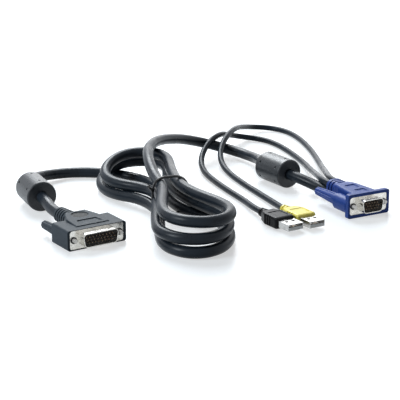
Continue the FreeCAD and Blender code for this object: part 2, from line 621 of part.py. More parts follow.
def data_overmould():
    """Soft body with side grip notches and a ringed strain relief."""
    relief_start = DATA_SHELL_REACH + DATA_BODY_LENGTH
    relief = rod(DATA_RELIEF_RADIUS, DATA_RELIEF_LENGTH, 0, relief_start, 0, DATA_RELIEF_TIP)
    relief = relief.cut(ring_grooves(relief_start, DATA_END, DATA_RELIEF_RADIUS,
                                     DATA_RELIEF_TIP, DATA_RING_DEPTH, DATA_RING_START))
    return merge(data_body(), relief).cut(data_cuts())


def data_shell():
    """Rectangular drawn tube with two square windows in the top."""
    length = DATA_SHELL_REACH + DATA_SHELL_ROOT
    tube = box(DATA_SHELL_WIDTH, length, DATA_SHELL_HEIGHT)
    bore = box(DATA_SHELL_WIDTH - 2 * DATA_SHELL_WALL, length,
               DATA_SHELL_HEIGHT - 2 * DATA_SHELL_WALL)
    windows = [box(DATA_WINDOW, DATA_WINDOW, DATA_SHELL_HEIGHT, DATA_WINDOW_FROM_TIP,
                   side * DATA_WINDOW_SPACING / 2, DATA_SHELL_HEIGHT / 2) for side in (-1, 1)]
    return tube.cut(bore).cut(Part.makeCompound(windows))


def data_tongue_floor():
    """Height of the shell's inner floor."""
    return -DATA_SHELL_HEIGHT / 2 + DATA_SHELL_WALL


def data_tongue():
    """Plastic tongue on the shell's floor, with four slots for the contacts."""
    length = DATA_SHELL_REACH + DATA_SHELL_ROOT - DATA_TONGUE_SETBACK
    middle = data_tongue_floor() + DATA_TONGUE_HEIGHT / 2
    tongue = box(DATA_SHELL_WIDTH - 2 * DATA_SHELL_WALL, length, DATA_TONGUE_HEIGHT,
                 DATA_TONGUE_SETBACK, 0, middle)
    return tongue.cut(data_contacts())


def data_contacts():
    """Flat contacts let into the top of the tongue, one solid each."""
    top = data_tongue_floor() + DATA_TONGUE_HEIGHT
    return Part.makeCompound([
        box(DATA_CONTACT_WIDTH, DATA_CONTACT_LENGTH, DATA_CONTACT_THICKNESS,
            DATA_TONGUE_SETBACK + DATA_CONTACT_SETBACK,
            DATA_CONTACT_SPACING * (step - (DATA_CONTACTS - 1) / 2),
            top - DATA_CONTACT_THICKNESS / 2) for step in range(DATA_CONTACTS)])


# ---------------------------------------------------------------- cords
def tube(route, radius, name):
    """Round cord along straight runs joined by tangent arcs; prints its bend radii."""
    points = [Vector(*p) for p in route]
    edges = []
    radii = []
    start = points[0]
    for before, corner, after in zip(points, points[1:], points[2:]):
        inward = (before - corner)
        outward = (after - corner)
        shorter = min(inward.Length, outward.Length)
        inward.normalize()
        outward.normalize()
        half_turn = (math.pi - inward.getAngle(outward)) / 2
        trim = ARC_SHARE * shorter
        radii.append(trim / math.tan(half_turn))
        arc_start = corner + inward * trim
        arc_end = corner + outward * trim
        centre_way = (inward + outward).normalize()
        centre = corner + centre_way * (trim / math.sin(half_turn))
        middle = centre - centre_way * radii[-1]
        edges.append(Part.LineSegment(start, arc_start).toShape())
        edges.append(Part.Arc(arc_start, middle, arc_end).toShape())
        start = arc_end
    edges.append(Part.LineSegment(start, points[-1]).toShape())
    path = Part.Wire(edges)
    section = Part.Wire(Part.makeCircle(radius, points[0], points[1] - points[0]))
    cord = path.makePipeShell([section], True, False)
    expected = math.pi * radius ** 2 * path.Length
    print(name, "length", round(path.Length), "bend radii", [round(r) for r in radii],
          "volume ratio", round(cord.Volume / expected, 4),
          "lowest", round(cord.optimalBoundingBox(False).ZMin, 3))
    return cord


def run_placement(route, run):
    """Placement at the middle of a route's run, with +Y along it."""
    start, end = (Vector(*route[i]) for i in run)
    return Placement((start + end) / 2, Rotation(Vector(0, 1, 0), end - start))


def ferrite_core(route, run):
    """Sintered sleeve round the cord."""
    length = FERRITE_LENGTH - 2 * FERRITE_WALL
    core = rod(FERRITE_RADIUS - FERRITE_WALL, length, 0, -length / 2)
    core = core.cut(rod(CORD_RADIUS, length, 0, -length / 2))
    core.Placement = run_placement(route, run)
    return core


def ferrite_dimples():
    """Round marks near both ends of the cover, set round it."""
    marks = []
    for end in (-1, 1):
        y = end * (FERRITE_LENGTH / 2 - FERRITE_DIMPLE_FROM_END)
        for degrees in FERRITE_DIMPLE_ANGLES:
            angle = math.radians(degrees)
            way = Vector(math.cos(angle), 0, math.sin(angle))
            foot = way * (FERRITE_RADIUS - FERRITE_DIMPLE_DEPTH) + Vector(0, y, 0)
            marks.append(Part.makeCylinder(FERRITE_DIMPLE_RADIUS, FERRITE_RADIUS, foot, way))
    return Part.makeCompound(marks)


def ferrite_cover(route, run):
    """Moulded sleeve that closes round the core and the cord."""
    cover = rod(FERRITE_RADIUS, FERRITE_LENGTH, 0, -FERRITE_LENGTH / 2)
    cover = cover.makeFillet(FERRITE_EDGE, [e for e in cover.Edges
                                            if isinstance(e.Curve, Part.Circle)])
    length = FERRITE_LENGTH - 2 * FERRITE_WALL
    cover = cover.cut(rod(CORD_RADIUS, 2 * FERRITE_LENGTH, 0, -FERRITE_LENGTH))
    cover = cover.cut(rod(FERRITE_RADIUS - FERRITE_WALL, length, 0, -length / 2))
    cover = cover.cut(ferrite_dimples())
    cover.Placement = run_placement(route, run)
    return cover


def slot_outline(first, first_radius, second, second_radius, height):
    """Prism over two circles and the tangents that join them."""
    a, b = Vector(*first, 0), Vector(*second, 0)
    way = b - a
    across = Vector(-way.y, way.x, 0).normalize()
    slope = math.asin((first_radius - second_radius) / way.Length)
    along = way.normalize()
    corners = {}
    for side in (-1, 1):
        normal = along * math.sin(slope) + across * (side * math.cos(slope))
        corners[side] = (a + normal * first_radius, b + normal * second_radius)
    edges = [
        Part.Arc(corners[-1][0], a - along * first_radius, corners[1][0]).toShape(),
        Part.LineSegment(corners[1][0], corners[1][1]).toShape(),
        Part.Arc(corners[1][1], b + along * second_radius, corners[-1][1]).toShape(),
        Part.LineSegment(corners[-1][1], corners[-1][0]).toShape()]
    return Part.Face(Part.Wire(edges)).extrude(Vector(0, 0, height))


def hank_lobe(lobe):
    """One lobe: a ring of stacked turns from the waist round the far bend, edges rounded."""
    ring = slot_outline(*lobe["outer"], HANK_WAIST, HANK_WAIST_RADIUS, HANK_HEIGHT)
    ring = ring.cut(slot_outline(*lobe["inner"], lobe["root"], HANK_ROOT_RADIUS, HANK_HEIGHT))
    level = [e for e in ring.Edges if abs(e.Vertexes[0].Z - e.Vertexes[-1].Z) < 1e-6]
    return ring.makeFillet(HANK_EDGE, level)


def tie_room():
    """The waist's section, which the tie closes round."""
    return 2 * HANK_WAIST_RADIUS, HANK_HEIGHT - TIE_THICKNESS


def tie_band():
    """Flat band that closes round the waist, its corners over the rounded edges."""
    width, height = tie_room()
    y = HANK_WAIST[1] - TIE_WIDTH / 2
    outer = block(width + 2 * TIE_THICKNESS, height + 2 * TIE_THICKNESS, TIE_WIDTH,
                  HANK_EDGE + TIE_THICKNESS, y)
    band = outer.cut(block(width, height, TIE_WIDTH, HANK_EDGE, y))
    band.translate(Vector(HANK_WAIST[0], 0, TIE_THICKNESS + height / 2))
    return band


def hank():
    """Outer shape of the tied hank: two lobes that share a waist, relieved under the tie."""
    return merge(hank_lobe(LEFT_LOBE), hank_lobe(RIGHT_LOBE)).cut(tie_band())


def tie():
    """Wire tie round the waist, with its two ends twisted together."""
    width, height = tie_room()
    foot = Vector(HANK_WAIST[0] - width / 2 - TIE_THICKNESS, HANK_WAIST[1],
                  TIE_THICKNESS + height / 2)
    twist = Part.makeCylinder(TIE_TWIST_RADIUS, TIE_TWIST_LENGTH, foot, Vector(*TIE_TWIST_WAY))
    return merge(tie_band(), twist)


# ---------------------------------------------------------------- write every node
def plug_nodes(plug, hood):
    """Shapes of one screw-locked plug, by node name, in their place."""
    name = plug["name"]
    shapes = {
        name + "_hood": hood(plug), name + "_inner_mould": inner_mould(plug),
        name + "_front_shell": front_shell(plug), name + "_rear_shell": rear_shell(plug),
        name + "_insulator": insulator(plug), name + "_pins": pins(plug)}
    for side, x in zip(("left", "right"), screw_places(plug)):
        shapes[name + "_" + side + "_screw"] = screw(plug, x)
        shapes[name + "_" + side + "_knob"] = knob(plug, x)
    return place_all(shapes, plug["place"])


def data_nodes(plug):
    """Shapes of one flat data plug, by node name, in their place."""
    name = plug["name"]
    shapes = {name + "_overmould": data_overmould(), name + "_shell": data_shell(),
              name + "_tongue": data_tongue(), name + "_contacts": data_contacts()}
    return place_all(shapes, plug["place"])


def place_all(shapes, place):
    """Each shape moved from its plug's own axes to the table."""
    for shape in shapes.values():
        shape.transformShape(place.toMatrix())
    return shapes


def inlet(place, away):
    """Point of a cord's line, away behind the end of the video plug's collar."""
    local = Vector(place[0], VIDEO_COLLAR_END - RIM_LIP + away, place[1])
    return tuple(VIDEO_PLUG["place"].multVec(local))


def switch_exit(away):
    """Point of the main cord's line, away behind the 26-pin plug's relief."""
    return tuple(SWITCH_PLUG["place"].multVec(Vector(0, RELIEF_END - RIM_LIP + away, RELIEF_RISE)))


def data_exit(plug):
    """Point where a lead enters a data plug's strain relief."""
    return tuple(plug["place"].multVec(Vector(0, DATA_END, 0)))


def cord_nodes():
    """Cords, the hank, its tie and the two ferrite sleeves."""
    left_route = [switch_exit(0), switch_exit(EXIT_STRAIGHT)] + LEFT_ROUTE
    right_route = RIGHT_ROUTE + [inlet(MAIN_INLET, INLET_STRAIGHT), inlet(MAIN_INLET, 0)]
    black_route = [inlet(BLACK_INLET, 0), inlet(BLACK_INLET, INLET_STRAIGHT)] + BLACK_ROUTE
    yellow_route = [inlet(YELLOW_INLET, 0), inlet(YELLOW_INLET, INLET_STRAIGHT)] + YELLOW_ROUTE
    return {
        "left_cord": tube(left_route, CORD_RADIUS, "left_cord"),
        "right_cord": tube(right_route, CORD_RADIUS, "right_cord"),
        "black_lead": tube(black_route + [data_exit(BLACK_PLUG)], LEAD_RADIUS, "black_lead"),
        "yellow_lead": tube(yellow_route + [data_exit(YELLOW_PLUG)], LEAD_RADIUS, "yellow_lead"),
        "hank": hank(),
        "hank_tie": tie(),
        "left_ferrite_core": ferrite_core(left_route, LEFT_FERRITE_RUN),
        "left_ferrite_cover": ferrite_cover(left_route, LEFT_FERRITE_RUN),
        "right_ferrite_core": ferrite_core(right_route, RIGHT_FERRITE_RUN),
        "right_ferrite_cover": ferrite_cover(right_route, RIGHT_FERRITE_RUN)}


nodes = {}
nodes.update(plug_nodes(SWITCH_PLUG, switch_hood))
nodes.update(plug_nodes(VIDEO_PLUG, video_hood))
nodes.update(data_nodes(BLACK_PLUG))
nodes.update(data_nodes(YELLOW_PLUG))
nodes.update(cord_nodes())

os.makedirs("parts", exist_ok=True)
for node, shape in nodes.items():
    solids = shape.Solids
    if not solids or not all(s.isValid() for s in solids):
        raise RuntimeError(node + " is not a valid solid")
    shape.exportStep("parts/" + node + ".step")
    print(node, "solids", len(solids), "volume", round(shape.Volume, 1))
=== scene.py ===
import math

import bpy
import numpy as np
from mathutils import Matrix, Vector


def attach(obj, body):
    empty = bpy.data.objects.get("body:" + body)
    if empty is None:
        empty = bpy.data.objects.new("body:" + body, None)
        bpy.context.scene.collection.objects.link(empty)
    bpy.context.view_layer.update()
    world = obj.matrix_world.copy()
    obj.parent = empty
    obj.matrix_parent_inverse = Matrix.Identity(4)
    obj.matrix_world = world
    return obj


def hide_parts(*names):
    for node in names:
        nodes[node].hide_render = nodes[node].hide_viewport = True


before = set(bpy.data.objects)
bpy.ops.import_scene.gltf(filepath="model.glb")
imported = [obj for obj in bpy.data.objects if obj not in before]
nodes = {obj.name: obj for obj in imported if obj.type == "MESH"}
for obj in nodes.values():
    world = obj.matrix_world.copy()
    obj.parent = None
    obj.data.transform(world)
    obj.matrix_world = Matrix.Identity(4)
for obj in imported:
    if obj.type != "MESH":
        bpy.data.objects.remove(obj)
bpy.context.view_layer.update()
MM = 0.001


# ---------------------------------------------------------------- camera
# A long lens, low over the table, looking along the hank from the switch plug's side.
def placed(name, data):
    """A new object in the scene that shows the data, at the origin."""
    thing = bpy.data.objects.new(name, data)
    bpy.context.scene.collection.objects.link(thing)
    return thing


view_point = Vector((109.7, 36.7, 0.0)) * MM
view_distance = 987.3 * MM
view_height = math.radians(17.05)
view_heading = math.radians(33.5)
away = Vector((-math.sin(view_heading) * math.cos(view_height),
               -math.cos(view_heading) * math.cos(view_height),
               math.sin(view_height)))
camera = placed("camera", bpy.data.cameras.new("camera"))
camera.data.lens = 126.0
camera.data.sensor_width = 36.0
camera.data.clip_start = 0.05
camera.location = view_point + away * view_distance
camera.rotation_euler = (-away).to_track_quat("-Z", "Y").to_euler()
bpy.context.scene.camera = camera
bpy.context.scene.view_settings.view_transform = "Standard"


# ---------------------------------------------------------------- table and light
# A white seamless table under three soft boxes: a broad one overhead behind, a small one at
# the left and a weak low one behind. Table and sky are lifted to white only where they are
# looked at, mirrored or seen through glass, so the lift throws no light on the object.
def node_material(name):
    """A new material with nodes: the material, its tree, its Principled shader and its output."""
    material = bpy.data.materials.new(name)
    material.use_nodes = True
    tree = material.node_tree
    return material, tree, tree.nodes["Principled BSDF"], tree.nodes["Material Output"]


def links(tree, *pairs):
    """Links each output to its input; a pair is (output socket, input socket)."""
    for source, target in pairs:
        tree.links.new(source, target)


def span(tree, value, low, high, start=0.0, end=1.0):
    """value mapped from start..end to low..high, clamped."""
    scaled = tree.nodes.new("ShaderNodeMapRange")
    for socket, amount in (("From Min", start), ("From Max", end), ("To Min", low),
                           ("To Max", high)):
        scaled.inputs[socket].default_value = amount
    links(tree, (value, scaled.inputs["Value"]))
    return scaled.outputs["Result"]


def math_node(tree, operation, first, second):
    """One math node; either side is a socket or a number."""
    node = tree.nodes.new("ShaderNodeMath")
    node.operation = operation
    for socket, value in zip(node.inputs, (first, second)):
        if hasattr(value, "links"):
            links(tree, (value, socket))
        else:
            socket.default_value = value
    return node.outputs[0]


def seen_straight_or_mirrored(tree):
    """1 for rays from the camera and those off gloss or through glass, 0 for diffuse ones."""
    rays = tree.nodes.new("ShaderNodeLightPath")
    seen = rays.outputs["Is Camera Ray"]
    for kind in ("Is Glossy Ray", "Is Transmission Ray"):
        seen = math_node(tree, "MAXIMUM", seen, rays.outputs[kind])
    return seen


def table_material():
    """White laminate that reads as paper white to the lens and still takes soft shadows."""
    material, tree, shader, out = node_material("white_table")
    shader.inputs["Base Color"].default_value = (0.47, 0.51, 0.54, 1)
    shader.inputs["Roughness"].default_value = 0.30
    shader.inputs["Specular IOR Level"].default_value = 0.35
    place = tree.nodes.new("ShaderNodeTexCoord").outputs["Object"]
    out_from_work = tree.nodes.new("ShaderNodeVectorMath")
    out_from_work.operation = "DISTANCE"
    out_from_work.inputs[1].default_value = view_point
    fade = span(tree, out_from_work.outputs["Value"], TABLE_LIFT, 1.0, *TABLE_FADE)
    lift = math_node(tree, "MULTIPLY", seen_straight_or_mirrored(tree), fade)
    glow = tree.nodes.new("ShaderNodeEmission")
    total = tree.nodes.new("ShaderNodeAddShader")
    links(tree, (place, out_from_work.inputs[0]), (lift, glow.inputs["Strength"]),
          (shader.outputs["BSDF"], total.inputs[0]),
          (glow.outputs["Emission"], total.inputs[1]),
          (total.outputs["Shader"], out.inputs["Surface"]))
    return material


TABLE_LIFT = 0.54           # near the object, where the table is lit as well
TABLE_FADE = (0.35, 1.1)    # metres from the view point over which the lift grows to 1
table_half = 4.0
table_mesh = bpy.data.meshes.new("table")
table_mesh.from_pydata([(-table_half, -table_half, 0), (table_half, -table_half, 0),
                        (table_half, table_half, 0), (-table_half, table_half, 0)], [],
                       [(0, 1, 2, 3)])
table_mesh.materials.append(table_material())
table = placed("table", table_mesh)


def soft_box(name, place, size, power, colour=(1, 1, 1)):
    """Square area lamp at place, in metres, of size metres and power watts, at the view point."""
    lamp = bpy.data.lights.new(name, "AREA")
    lamp.size = size
    lamp.energy = power
    lamp.color = colour
    holder = placed(name, lamp)
    holder.location = place
    holder.rotation_euler = (view_point - Vector(place)).to_track_quat("-Z", "Y").to_euler()


soft_box("top_box", (0.5, 1.15, 1.2), 0.85, 31.0, (0.93, 0.97, 1.0))
soft_box("left_box", (-1.1, 0.3, 0.75), 0.45, 12.0, (0.9, 0.96, 1.0))
soft_box("back_box", (1.05, 1.45, 0.42), 0.9, 3.5)

SKY_LIGHT = 0.08            # what the sky gives to the object
world = bpy.data.worlds.new("studio")
bpy.context.scene.world = world
world.use_nodes = True
sky = world.node_tree.nodes["Background"]
sky.inputs["Color"].default_value = (0.95, 0.97, 1.0, 1)
links(world.node_tree,
      (span(world.node_tree, seen_straight_or_mirrored(world.node_tree), SKY_LIGHT, 1.0),
       sky.inputs["Strength"]))


# ---------------------------------------------------------------- round cord and hank
# One round cord, 7.8 mm, with a glossy charcoal PVC jacket over a braided shield. It is wound
# by hand into a hank of three right and two left turns, and tied round its waist.
cord_radius = 3.9 * MM
SWITCH_EXIT = (0, 38.75, 8.0)
from_switch_plug = [
    SWITCH_EXIT, (0, 50.75, 8.0), (3.4, 67, 10.5), (11, 109, 10.5), (22.5, 126, 8.2),
    (40, 137.5, 5), (60, 137.5, 4.1), (77.5, 126.5, 4), (90, 109, 3.9), (96, 88, 3.9),
    (93.5, 67, 3.9), (88.5, 47.5, 3.9),
]
turns = [
    (83.5, 31, 3.9), (81, 15, 3.9), (84, 0, 3.9), (87, -15, 3.9), (85, -31, 3.9),
    (78.5, -45.5, 3.9), (69.5, -57.5, 3.9), (58, -66, 3.9), (45.5, -68.5, 3.9), (35, -63, 3.9),
    (30.5, -50.5, 3.9), (32.5, -36.5, 3.9), (39.5, -23, 3.9), (48, -8.5, 3.9), (57, 6.5, 3.9),
    (64.5, 20.5, 4.4), (66.5, 35, 5.6),
    (64.5, 49.5, 6), (60.5, 64, 4.8), (59.5, 78, 3.9), (61.5, 91.5, 4.3), (68, 103.5, 5.9),
    (78.5, 111, 10), (91, 112, 12.7), (103.5, 109.5, 12.8), (112.5, 101.5, 12.7),
    (113, 88.5, 12.7),
    (107, 75, 12.7), (98, 61, 12.8), (90, 46, 12.8),
    (84.8, 30, 12.6), (82.3, 14, 12.4), (81.8, -2, 12.3), (82.6, -17, 12.3), (82.8, -31.5, 12.3),
    (77.8, -45.5, 12.3), (68.7, -57.5, 12.3), (57, -65.8, 12.3), (44.5, -67, 12.3),
    (34, -60.3, 12.3),
    (29, -48, 12.3), (30.5, -34.5, 12.3), (38, -21, 12.3), (47.5, -6, 12.4), (57.5, 10, 12.6),
    (67, 24, 12.8), (71, 37.5, 12.9),
    (68.5, 51, 12.6), (63.5, 63, 12.2), (60.8, 75, 12), (62, 87.5, 13), (69, 98.5, 15.6),
    (80, 105, 18.9), (92, 106.5, 21.0), (103.5, 102.5, 21.3), (110.5, 92.5, 21.2),
    (109, 79, 21.2), (102.3, 65.5, 21.3), (95, 52, 21.5), (87.5, 37, 21.8),
    (81, 22, 21.8), (77.2, 7, 21.8), (76, -8, 21.8), (76.8, -22, 21.8), (78, -35.5, 21.8),
    (76, -48.5, 21.8), (69.5, -59.5, 21.8), (59.5, -66, 21.9), (48, -65, 22.0),
    (39, -57.5, 22.0), (34.8, -46.5, 21.9), (35.6, -34, 21.8), (41.5, -21.5, 21.8),
    (49.8, -9, 21.9), (58, 3, 22.1), (64.5, 14.5, 22.7),
]
to_video_plug = [
    (67, 22, 23.4), (70.5, 33.5, 24.6), (75.5, 47, 27.2), (82, 61, 29.3), (92, 77.5, 30.2),
    (105.5, 93.5, 29.5), (121, 107, 27), (138, 118, 23), (155, 127, 18.2), (171, 131, 13),
    (184.5, 128, 8.6), (193.5, 117.5, 5.8), (197, 103, 4.8), (195, 87.5, 5.8), (188.5, 73.5, 8.6),
    (180.5, 60, 10.5), (180, 20.5, 10.5), (187.2, -1.5, 5.8), (186.2, -15.5, 5.8),
]


def cord_curve(name, route, radius):
    """A round tube on one smooth quadratic NURBS line whose control points are the route, mm."""
    curve = bpy.data.curves.new(name, "CURVE")
    curve.dimensions = "3D"
    spline = curve.splines.new("NURBS")
    spline.points.add(len(route) - 1)
    for point, place in zip(spline.points, route):
        point.co = (*(value * MM for value in place), 1.0)
        point.radius = radius
    spline.order_u = 3
    spline.use_endpoint_u = True
    spline.resolution_u = 8
    curve.bevel_depth = 1.0
    curve.bevel_resolution = 6
    curve.use_fill_caps = True
    return placed(name, curve)


main_cord = cord_curve("main_cord", from_switch_plug + turns + to_video_plug, cord_radius)
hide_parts("left_cord", "hank", "right_cord")
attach(main_cord, "root")


def new_group(name, inputs, outputs):
    """An empty node group with the named sockets; gives its tree, its inputs and its outputs."""
    group = bpy.data.node_groups.new(name, "ShaderNodeTree")
    for socket, kind in inputs:
        group.interface.new_socket(socket, in_out="INPUT", socket_type=kind)
    for socket, kind in outputs:
        group.interface.new_socket(socket, in_out="OUTPUT", socket_type=kind)
    return (group, group.nodes.new("NodeGroupInput").outputs,
            group.nodes.new("NodeGroupOutput").inputs)


def noise_node(tree, vector, scale, detail=3.0, rough=0.5):
    """Noise texture over vector; scale is in cells per metre."""
    noise = tree.nodes.new("ShaderNodeTexNoise")
    noise.inputs["Detail"].default_value = detail
    noise.inputs["Roughness"].default_value = rough
    links(tree, (vector, noise.inputs["Vector"]))
    if hasattr(scale, "links"):
        links(tree, (scale, noise.inputs["Scale"]))
    else:
        noise.inputs["Scale"].default_value = scale
    return noise.outputs["Fac"]


def tinted(tree, colour, amount):
    """colour, a socket, times amount, a number socket."""
    node = tree.nodes.new("ShaderNodeVectorMath")
    node.operation = "SCALE"
    links(tree, (colour, node.inputs[0]), (amount, node.inputs["Scale"]))
    return node.outputs["Vector"]


def jacket_group():
    """Extruded PVC: drawn streaks, handling marks and dust that dull a glossy skin."""
    group, given, out = new_group(
        "extruded_jacket", [("Tint", "NodeSocketColor"), ("Gloss", "NodeSocketFloat")],
        [("Color", "NodeSocketColor"), ("Roughness", "NodeSocketFloat"),
         ("Normal", "NodeSocketVector")])
    place = group.nodes.new("ShaderNodeTexCoord").outputs["Object"]
    marks = noise_node(group, place, 90, 5, 0.6)
    skin = noise_node(group, place, 1500, 2)
    shade = span(group, marks, 0.82, 1.2, 0.3, 0.7)
    dull = math_node(group, "ADD", given["Gloss"], span(group, marks, -0.05, 0.09, 0.35, 0.7))
    bump = group.nodes.new("ShaderNodeBump")
    bump.inputs["Strength"].default_value = 0.2
    bump.inputs["Distance"].default_value = 0.03 * MM
    height = math_node(group, "ADD", skin, marks)
    links(group, (tinted(group, given["Tint"], shade), out["Color"]), (dull, out["Roughness"]),
          (height, bump.inputs["Height"]), (bump.outputs["Normal"], out["Normal"]))
    return group


def grouped_material(name, group, colour, **settings):
    """Material whose colour, roughness and normal come from a group; settings go to sockets."""
    material, tree, shader, out = node_material(name)
    node = tree.nodes.new("ShaderNodeGroup")
    node.node_tree = group
    node.inputs["Tint"].default_value = (*colour, 1)
    for socket, value in settings.items():
        target = socket.replace("_", " ")
        (node if target in node.inputs else shader).inputs[target].default_value = value
    links(tree, (node.outputs["Color"], shader.inputs["Base Color"]),
          (node.outputs["Roughness"], shader.inputs["Roughness"]),
          (node.outputs["Normal"], shader.inputs["Normal"]))
    return material


extruded = jacket_group()
jacket = grouped_material("cord_jacket", extruded, (0.0120, 0.0178, 0.0255), Gloss=0.31,
                          Specular_IOR_Level=0.16)
main_cord.data.materials.append(jacket)


# ---------------------------------------------------------------- thin leads
# Two 4.4 mm leads with the same jacket, from the video plug's collar to the flat data plugs.
lead_radius = 2.2 * MM
black_route = [
    (184.5, -15.4, 12.7), (185.1, -7, 12.7), (192.5, 8, 11.2), (203.5, 26, 7.4),
    (214.5, 46, 4.2), (225, 67, 2.6), (232.5, 88, 2.2), (238, 107, 2.2), (241.5, 124, 2.2),
    (242, 139.5, 2.2), (236, 151, 2.5), (224.5, 155, 4.8), (211.5, 148.5, 9.1),
    (200, 139.5, 13.6), (188.5, 130, 16.1), (176, 123, 14.8), (164, 115, 9.2),
    (154.5, 103.5, 4.6), (147, 87, 2.3), (141, 66, 2.2), (135.5, 40, 2.2), (130.5, 12, 2.4),
    (124.2, -8, 3.4), (122.2, -20, 4),
]
yellow_route = [
    (191.3, -15.8, 12.7), (191.9, -8, 12.7), (200, 6.5, 11), (211.5, 23, 7.6), (223, 41, 4.6),
    (234.5, 60, 2.8), (246, 80, 2.2), (256, 100, 2.2), (265, 121, 2.2), (271.5, 141, 2.2),
    (273.5, 158, 2.2), (267, 171.5, 2.6), (253.5, 174.5, 4.4), (239, 165.5, 8.4),
    (223.5, 152.5, 13), (209, 139, 15.8), (195.5, 127, 15.8), (183, 116.5, 12.6),
    (173, 105, 7.6), (166, 90.5, 3.6), (160.5, 72.5, 2.2), (155, 50, 2.2), (149.8, 24, 2.2),
    (143.5, -6, 2.8), (138.6, -22.8, 4),
]
lead_jacket = grouped_material("lead_jacket", extruded, (0.012, 0.018, 0.026), Gloss=0.30,
                               Specular_IOR_Level=0.10)
for name, route, length in (("black", black_route, 0.405), ("yellow", yellow_route, 0.465)):
    lead = cord_curve(name + "_data_lead", route, lead_radius)
    lead.data.materials.append(lead_jacket)
    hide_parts(name + "_lead")
    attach(lead, "root")


# ---------------------------------------------------------------- wire tie
# A plastic-covered wire, 1.8 mm, bent once round the waist of the hank by hand. Its two ends
# are twisted together on the left side.
tie_radius = 0.9 * MM
tie_loop = [
    (59, 17.5, 14), (58.6, 17.5, 21), (61, 17.5, 26.4), (66.5, 17.5, 28.2), (73, 17.5, 27.7),
    (78.5, 17.5, 27.2), (84.2, 17.5, 24.3), (87.5, 17.5, 18.5), (90, 17.5, 12), (87.5, 17.5, 5),
    (85, 17.5, 1.2), (77, 17.5, 0.9), (62, 17.5, 0.9), (58.8, 17.5, 6),
]
tie_ends = [
    [(59, 17, 19.5), (57.4, 16.4, 20.6), (56.4, 15, 22), (54.9, 15.2, 23.4), (53.6, 13.8, 24.6)],
    [(59, 17, 20.8), (57, 15.4, 20.8), (56.2, 16, 22.6), (54.6, 14.2, 23.2), (53.9, 15, 25.2)],
]
tie_pieces = [cord_curve("tie_loop", tie_loop, tie_radius)]
tie_pieces[0].data.splines[0].use_endpoint_u = False
tie_pieces[0].data.splines[0].use_cyclic_u = True
for count, route in enumerate(tie_ends):
    tie_pieces.append(cord_curve(f"tie_end_{count}", route, tie_radius))
tie_cover = grouped_material("tie_cover", extruded, (0.006, 0.006, 0.007), Gloss=0.42)
for piece in tie_pieces:
    piece.data.materials.append(tie_cover)
    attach(piece, "root")
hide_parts("hank_tie")


# ---------------------------------------------------------------- ferrite sleeves
# Two ferrite cores on the cord, one near each end, each in a black moulded cover. The cover
# shows faint rings round its length.
def rounded_bump(group, radius, height, distance):
    """Normals with edges rounded to radius, then bumped by height; gives both sockets."""
    bevel = group.nodes.new("ShaderNodeBevel")
    bevel.samples = 4
    bevel.inputs["Radius"].default_value = radius
    bump = group.nodes.new("ShaderNodeBump")
    bump.inputs["Strength"].default_value = 0.5
    bump.inputs["Distance"].default_value = distance
    links(group, (height, bump.inputs["Height"]),
          (bevel.outputs["Normal"], bump.inputs["Normal"]))
    return bevel.outputs["Normal"], bump.outputs["Normal"]


def moulded_group():
    """Moulded skin: spark-eroded grain, slow flow marks, edges rounded and painted paler, partly
    as rubbing wear and partly as a painted highlight.
    """
    group, given, out = new_group(
        "moulded_skin",
        [("Tint", "NodeSocketColor"), ("Gloss", "NodeSocketFloat"), ("Grain", "NodeSocketFloat"),
         ("Wear", "NodeSocketFloat")],
        [("Color", "NodeSocketColor"), ("Roughness", "NodeSocketFloat"),
         ("Normal", "NodeSocketVector")])
    place = group.nodes.new("ShaderNodeTexCoord").outputs["Object"]
    flow = noise_node(group, place, 70, 4, 0.6)
    grain = noise_node(group, place, given["Grain"], 2)
    rounded, bumped = rounded_bump(group, 0.35 * MM, grain, 0.05 * MM)
    facing = group.nodes.new("ShaderNodeNewGeometry").outputs["Normal"]
    turned = group.nodes.new("ShaderNodeVectorMath")
    turned.operation = "DOT_PRODUCT"
    links(group, (rounded, turned.inputs[0]), (facing, turned.inputs[1]))
    edge = span(group, turned.outputs["Value"], 1.0, 0.0, 0.72, 0.99)
    # Paler edges: partly rubbing wear, partly a painted highlight along every edge.
    worn_and_highlit_edge = math_node(group, "MULTIPLY", edge, given["Wear"])
    shade = math_node(group, "ADD", span(group, flow, 0.9, 1.12, 0.3, 0.7), worn_and_highlit_edge)
    dull = math_node(group, "ADD", given["Gloss"], span(group, grain, -0.06, 0.08, 0.3, 0.7))
    smooth = math_node(group, "SUBTRACT", dull, math_node(group, "MULTIPLY", edge, 0.1))
    links(group, (tinted(group, given["Tint"], shade), out["Color"]),
          (smooth, out["Roughness"]), (bumped, out["Normal"]))
    return group


def drawn_bands(material, first, second):
    """Faint rings round a line from first to second: noise of the distance along it."""
    tree = material.node_tree
    skin = tree.nodes["Group"]
    place = tree.nodes.new("ShaderNodeTexCoord").outputs["Object"]
    along = tree.nodes.new("ShaderNodeVectorMath")
    along.operation = "DOT_PRODUCT"
    along.inputs[1].default_value = (Vector(second) - Vector(first)).normalized()
    rings = tree.nodes.new("ShaderNodeTexNoise")
    rings.noise_dimensions = "1D"
    rings.inputs["Scale"].default_value = 1500
    rings.inputs["Detail"].default_value = 3
    colour = tree.nodes.new("ShaderNodeRGB").outputs[0]
    colour.default_value = skin.inputs["Tint"].default_value
    links(tree, (place, along.inputs[0]), (along.outputs["Value"], rings.inputs["W"]),
          (tinted(tree, colour, span(tree, rings.outputs["Fac"], 0.55, 1.7, 0.32, 0.68)),
           skin.inputs["Tint"]),
          (span(tree, rings.outputs["Fac"], 0.28, 0.46, 0.3, 0.7), skin.inputs["Gloss"]))


def dress(material, *names):
    """Gives the CAD nodes of these names one material."""
    for name in names:
        mesh = nodes[name].data
        mesh.materials.clear()
        mesh.materials.append(material)


